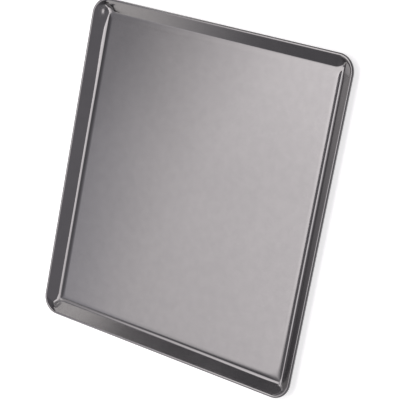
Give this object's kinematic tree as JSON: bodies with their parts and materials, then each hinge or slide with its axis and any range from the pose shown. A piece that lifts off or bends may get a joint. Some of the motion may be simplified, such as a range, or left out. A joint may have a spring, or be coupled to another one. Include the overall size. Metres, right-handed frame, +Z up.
{
  "type": "cookie sheet",
  "caption": "Flat rectangular baking sheet of coated steel, with low sloping sides all round, rounded corners and an edge rolled round a wire.",
  "frame": {"origin": "under the middle of the base, on the surface that the sheet stands on", "axes": "+Z up, +Y along the longer side, +X across"},
  "size_m": [0.3556, 0.3936, 0.0106],
  "materials": {
    "coated_steel": "dark grey non-stick coating with a satin sheen, finely grained",
    "steel_wire": "bare drawn steel wire, hidden inside the rolled edge"
  },
  "bodies": {
    "root": {"pan_sheet": "coated_steel", "rim_wire": "steel_wire"}
  },
  "joints": []
}
